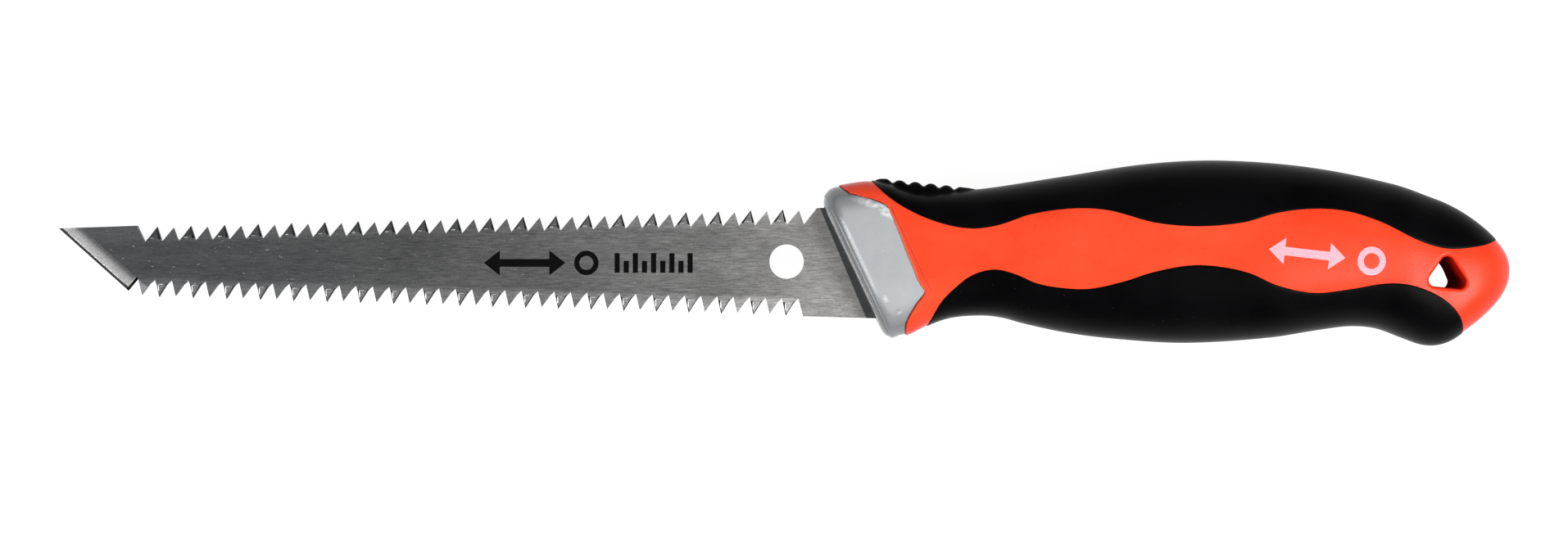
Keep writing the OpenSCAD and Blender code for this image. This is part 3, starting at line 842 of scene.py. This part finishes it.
def nose():
    sheet = Sheet()
    half = np.linspace(0, 1, 241)[:-1]
    u = np.concatenate([np.linspace(0, 0.25, 6), np.arange(0.3, 1.3, 0.04), np.arange(1.3, 3, 0.1),
                        np.arange(3.1, 14.5, 0.16)])
    uu, vv = np.meshgrid(u, half, indexing="ij")
    lift = -NOSE_DOWN - RIM_STEP * (1 - fade(uu, RIM_U - 0.05, RIM_U + 0.05))
    lift -= RIM_GROOVE * np.exp(-(((uu - RIM_U + 0.1) / 0.06) ** 2))
    lift += RIM_LIP * np.exp(-(((uu - RIM_U - 0.08) / 0.08) ** 2))
    near = on_handle(uu, angle_at(uu, vv), lift)
    for x, y, r, depth in DENTS:
        away = (near[..., 0] - x) ** 2 + (near[..., 1] - y) ** 2
        near[..., 2] -= depth * np.exp(-away / r**2) * (near[..., 2] > 2)
    end = on_handle(u, np.full(len(u), math.pi), lift[:, 0])[:, None]
    far = np.concatenate([end, near[:, :0:-1]], axis=1)
    far[..., 2] *= -1
    ring = np.concatenate([near, far], axis=1)
    ids = sheet.grid(ring, closed=True)

    # The front face closes in on the blade's slot, which goes a little way in
    front = ring[0]
    turn = np.arctan2(front[:, 2], front[:, 1])
    slot = np.column_stack([np.clip(front[:, 1] * 1.2, -SLOT_HALF_W, SLOT_HALF_W),
                            np.clip(np.sin(turn) * 8, -SLOT_HALF_T, SLOT_HALF_T)])
    previous = ids[0, :-1]
    for t, depth in [(0.06, 0), (0.35, 0), (0.7, 0), (0.96, 0.02), (1, 0.15), (1, 2.2)]:
        y = front[:, 1] * (1 - t) + slot[:, 0] * t
        z = front[:, 2] * (1 - t) + slot[:, 1] * t
        x = -NOSE_SLANT * y + depth - 0.05 * (depth == 0)
        previous = sheet.band(previous, np.column_stack([x, y, z]))
    sheet.build("nose", SILVER, "nose_silver", replaced=["nose_cap"], crease=35)


nose()


# ---- printed marks

INK_T = 0.04           # the marks are thin plates, half sunk into the surface


def patch(corners, step=0.6):
    """A flat four-cornered patch as a grid of points in side view."""
    c = np.array(corners, float)
    longest = max(np.linalg.norm(c[1] - c[0]), np.linalg.norm(c[2] - c[3]))
    deepest = max(np.linalg.norm(c[3] - c[0]), np.linalg.norm(c[2] - c[1]))
    a = np.linspace(0, 1, max(2, math.ceil(longest / step) + 1))[:, None, None]
    b = np.linspace(0, 1, max(2, math.ceil(deepest / step) + 1))[None, :, None]
    return (c[0] * (1 - a) + c[1] * a) * (1 - b) + (c[3] * (1 - a) + c[2] * a) * b


def bar(x0, y0, x1, y1, skew=0.0):
    return [[x0, y0], [x1, y0], [x1 + skew, y1], [x0 + skew, y1]]


def double_arrow(x0, x1, thick, head, spread_y):
    """Push and pull: a bar with a head at each end."""
    return [bar(x0 + head, -thick / 2, x1 - head, thick / 2),
            [[x0, -0.05], [x0 + head, -spread_y], [x0 + head, spread_y], [x0, 0.05]],
            [[x1, -0.05], [x1 - head, -spread_y], [x1 - head, spread_y], [x1, 0.05]]]


def ring_mark(x, y, outer, inner, count=28):
    """A ring of small patches."""
    turn = np.linspace(0, 2 * math.pi, count + 1)
    edge = np.stack([np.cos(turn), np.sin(turn)], -1)
    center = np.array([x, y])
    return [[center + edge[k] * inner, center + edge[k] * outer, center + edge[k + 1] * outer,
             center + edge[k + 1] * inner] for k in range(count)]


def mark(name, shapes, place, turn, height, mat, slot):
    """Prints shapes on a surface whose height is given by a function of x and y."""
    sheet = Sheet()
    c, s = math.cos(turn), math.sin(turn)
    for shape in shapes:
        xy = patch(shape)
        x = place[0] + xy[..., 0] * c - xy[..., 1] * s
        y = place[1] + xy[..., 0] * s + xy[..., 1] * c
        z = height(x, y)
        top = sheet.grid(np.stack([x, y, z + INK_T / 2], -1))
        low = sheet.grid(np.stack([x, y, z - INK_T / 2], -1))
        rows, cols = top.shape
        rim = ([(i, 0) for i in range(rows)] + [(rows - 1, j) for j in range(1, cols)]
               + [(i, cols - 1) for i in range(rows - 2, -1, -1)] + [(0, j) for j in range(cols - 2, 0, -1)])
        for k, one in enumerate(rim):
            two = rim[(k + 1) % len(rim)]
            sheet.faces.append((top[one], top[two], low[two], low[one]))
    return sheet.build(name, mat, slot, crease=30, merge=False)


def blade_face(x, y):
    return np.full(x.shape, BLADE_HALF_T)


BLADE_MARK = (double_arrow(0, 15.5, 1.5, 3, 2.4) + ring_mark(19.6, 0, 2.35, 1.35)
              + [bar(25 + 1.75 * i, -1.9, 26 + 1.75 * i, 1.9 - 1.5 * (i % 2)) for i in range(9)])
HANDLE_MARK = double_arrow(0, 14.5, 1.6, 3, 2.5) + ring_mark(19.6, 0, 2.7, 1.5)
mark("blade_mark", BLADE_MARK, (-70.1, -0.25), 0, blade_face, BLACK_INK, "blade_steel")
mark("handle_mark", HANDLE_MARK, (78.3, 2.3), math.radians(-6.5), side_height, PALE_INK, "core_orange")


# ---- fine lines

def ribbons(name, paths, normals, width, mat, slot):
    """Thin low ridges along paths on a surface, each tapering to its ends."""
    sheet = Sheet()
    profile = np.array([[-0.5, -0.06], [-0.5, 0.0], [-0.25, 0.03], [0.25, 0.03], [0.5, 0.0], [0.5, -0.06]])
    for path, normal in zip(paths, normals):
        path, normal = np.asarray(path, float), np.asarray(normal, float)
        tangent = np.gradient(path, axis=0)
        across = np.cross(tangent, normal)
        across /= np.linalg.norm(across, axis=1)[:, None]
        t = np.linspace(0, 1, len(path))
        w = width * np.clip(4 * np.minimum(t, 1 - t) + 0.25, 0, 1)
        rows = path[:, None] + across[:, None] * (profile[None, :, :1] * w[:, None, None]) \
            + normal[:, None] * profile[None, :, 1:]
        ids = sheet.grid(rows, closed=True)
        sheet.faces.append(tuple(ids[0, :-1]))
        sheet.faces.append(tuple(ids[-1, :-1]))
    return sheet.build(name, mat, slot, crease=80, merge=False)


CREASE_SHARE, FLANK_W, CREASE_SLOPE = 0.28, 0.35, math.tan(math.radians(6))


def row_x(row, i):
    return row[0] + i * PITCH - i * i * row[1]


def pull_tooth(i):
    """Gullet, tip and gullet of a tooth on the thumb side."""
    x, after = row_x(PULL_ROW, i), row_x(PULL_ROW, i + 1) - PULL_RUN
    tip_y = PULL_ROOT + PULL_TAPER * x + PULL_H - LOW_TOOTH * (i % 2)
    return [[x - PULL_RUN, PULL_ROOT + PULL_TAPER * (x - PULL_RUN)], [x, tip_y],
            [after, PULL_ROOT + PULL_TAPER * after]]


def push_tooth(i):
    """Gullet, tip and gullet of a tooth on the finger side."""
    x = row_x(PUSH_ROW, i)
    root = PUSH_ROOT - PUSH_TAPER * x
    return [[x - PUSH_RAKE, root], [x, root - PUSH_H + LOW_TOOTH * ((i + 1) % 2)], [x + PUSH_RUN, root]]


def tooth_lines(tooth, face):
    """Painted highlights: bright lines where a ground tooth's faces meet, along the crease and beside the
    short flank.
    """
    g0, tip, g1 = np.array(tooth)
    c0, c1 = g0 + (tip - g0) * CREASE_SHARE, g1 + (tip - g1) * CREASE_SHARE
    run = (c1 - c0) / np.linalg.norm(c1 - c0)
    a, b = c0 + run * FLANK_W * 1.2, c1 - run * FLANK_W * 1.2
    if tip[1] > 0:
        lines = [np.linspace(a, a + (b - a) * 0.55, 5)]
    else:
        lines = [np.linspace(a, a + (b - a) * 0.6, 6), np.linspace(a, a + (tip - a) * 0.6, 6)]
    paths = []
    for line in lines:
        depth = np.abs(line[:, 1] - c0[1]) * CREASE_SLOPE
        paths.append(np.column_stack([line, (BLADE_HALF_T - depth) * face]))
    return paths


def flat_normals(paths):
    return [np.tile([0, 0, np.sign(path[0, 2])], (len(path), 1)) for path in paths]


def tooth_crease_highlights():
    paths = []
    for i in range(TEETH):
        face = 1 if i % 2 == 0 else -1
        paths += tooth_lines(pull_tooth(i), face) + tooth_lines(push_tooth(i), -face)
    ribbons("tooth_crease_highlights", paths, flat_normals(paths), 0.16, HIGHLIGHT_STEEL, "blade_steel")


def knife_crease_highlights():
    """Painted highlights: bright lines along the inner border of the knife's edge, round its heel to the
    first gullet.
    """
    point, heel = np.array(KNIFE_POINT), np.array(KNIFE_HEEL)
    gullet = np.array(push_tooth(0)[0])
    heel_out = (gullet - heel) / np.linalg.norm(gullet - heel)
    heel_in = np.array([-heel_out[1], heel_out[0]])
    edge_in = np.array(KNIFE_IN)
    corner = heel + KNIFE_EDGE * (edge_in + heel_in) / (1 + edge_in @ heel_in)
    start = point + edge_in * KNIFE_EDGE + (heel - point) * 0.045
    paths = []
    for side in (1, -1):
        for a, b, count in ((start, corner, 30), (corner, gullet + heel_in * KNIFE_EDGE * 0.9, 8)):
            line = np.linspace(a, b, count)
            in_band = np.clip((line - point) @ edge_in / KNIFE_BAND, 0, 1)
            z = BLADE_HALF_T - KNIFE_DROP * (1 - in_band)
            paths.append(np.column_stack([line, z * side]))
    ribbons("knife_crease_highlights", paths, flat_normals(paths), 0.12, HIGHLIGHT_STEEL, "blade_steel")


def station_line(u, y_from, y_to, side, lift, count=60):
    """A path over the handle from one height to another, u a number or a list [[y, u], ...]."""
    y = np.linspace(y_from, y_to, count)
    at = np.full(count, u) if isinstance(u, (int, float)) else np.interp(y, *np.transpose(u))
    middle, half, _, n = section(at)
    c = np.clip((y - middle) / half, -1, 1)
    angle = np.arccos(np.sign(c) * np.abs(c) ** (n / 2))
    path = on_handle(at, angle, lift)
    normal = on_handle(at, angle, lift + 0.1) - path
    path[:, 2] *= side
    normal[:, 2] *= side
    return path, normal / np.linalg.norm(normal, axis=1)[:, None]


def both_sides(name, runs, width, mat):
    """Ribbons on both sides of the handle: each run is a station, two heights and a lift."""
    lines = [station_line(u, y_from, y_to, side, lift) for side in (1, -1) for u, y_from, y_to, lift in runs]
    ribbons(name, [line[0] for line in lines], [line[1] for line in lines], width, mat, "core_orange")


def core_lines():
    """Fine lines of the moulding: painted shade in the crease behind the tongue, a flash along the tongue's
    border, and a painted shadow along the core's front edge."""
    front = [[y, u - 0.06] for y, u in CORE_FRONT]
    rim = [[y, u + 0.2] for y, u in CORE_FRONT]
    both_sides("crease_shade_line", [(CREASE_U, 10.5, -5.4, -0.09)], 0.2, CREASE_SHADE)
    both_sides("flash_line", [(rim, 10.8, -5.5, -0.11)], 0.3, FLASH_TONE)
    both_sides("front_edge_shadow_lines", [(front, 15.1, 10.2, -0.16), (front, -6.0, -14.2, -0.16)], 0.22, SEAM_SHADOW)


tooth_crease_highlights()
knife_crease_highlights()
core_lines()


# ---- carried-over CAD nodes

for node in ("blade", "front_tang_pin", "rear_tang_pin"):
    mesh = frame["nodes"][node].data
    mesh.materials.clear()
    mesh.materials.append(STEEL)


# ---- floor, light and camera

FLOOR_GLOW = 0.95
SKY_STOPS = [(0.0, 0.55), (0.1, 0.4), (0.3, 0.2), (0.6, 0.15), (1.0, 0.15)]      # horizon to zenith
CAMERA_AT = (-12.6, -1.32)
CAMERA_UP = 540        # millimetres from the middle plane
VIEW_W = 301           # width of what the camera sees on the middle plane


def floor():
    """A pale light table: it shines itself, so shadows on it are faint."""
    bpy.ops.mesh.primitive_plane_add(size=6, location=(0, 0, -0.0002))
    table = bpy.context.object
    table.name = "floor"
    mat, tree, bsdf = new_material("pale_floor", (0.15, 0.15, 0.15), 0.8, specular=0.1)
    tone = ramp(tree, noise(tree, (4, 4, 4), 3), [(0.3, 0.14), (0.7, 0.16)])
    tree.links.new(tone, bsdf.inputs["Base Color"])
    bsdf.inputs["Emission Color"].default_value = (1, 1, 1, 1)
    bsdf.inputs["Emission Strength"].default_value = FLOOR_GLOW
    table.data.materials.append(mat)


def softbox(name, azimuth, off_zenith, distance, size, power):
    """A square lamp that looks at the saw, its place given by angles in degrees."""
    light = bpy.data.lights.new(name, "AREA")
    light.size = size
    light.energy = power
    lamp = bpy.data.objects.new(name, light)
    bpy.context.scene.collection.objects.link(lamp)
    a, t = math.radians(azimuth), math.radians(off_zenith)
    lamp.location = (distance * math.sin(t) * math.cos(a), distance * math.sin(t) * math.sin(a),
                     distance * math.cos(t))
    lamp.rotation_euler = (0, t, a)


def sky():
    """Bright at the horizon and dark overhead, as in a studio."""
    world = bpy.data.worlds.new("studio")
    bpy.context.scene.world = world
    world.use_nodes = True
    tree = world.node_tree
    place = tree.nodes.new("ShaderNodeTexCoord")
    split = tree.nodes.new("ShaderNodeSeparateXYZ")
    tree.links.new(place.outputs["Generated"], split.inputs["Vector"])
    color = ramp(tree, split.outputs["Z"], SKY_STOPS)
    tree.links.new(color, tree.nodes["Background"].inputs["Color"])


def camera():
    data = bpy.data.cameras.new("camera")
    data.sensor_width = 36
    data.lens = data.sensor_width * CAMERA_UP / VIEW_W
    data.clip_start, data.clip_end = 0.01, 10
    cam = bpy.data.objects.new("camera", data)
    bpy.context.scene.collection.objects.link(cam)
    cam.location = to_row([*CAMERA_AT, CAMERA_UP])
    bpy.context.scene.camera = cam


floor()
sky()
softbox("left_softbox", 198, 42, 0.8, 0.35, 3.4)
softbox("right_softbox", -18, 46, 1.0, 0.5, 10)
camera()
bpy.context.scene.view_settings.view_transform = "Standard"
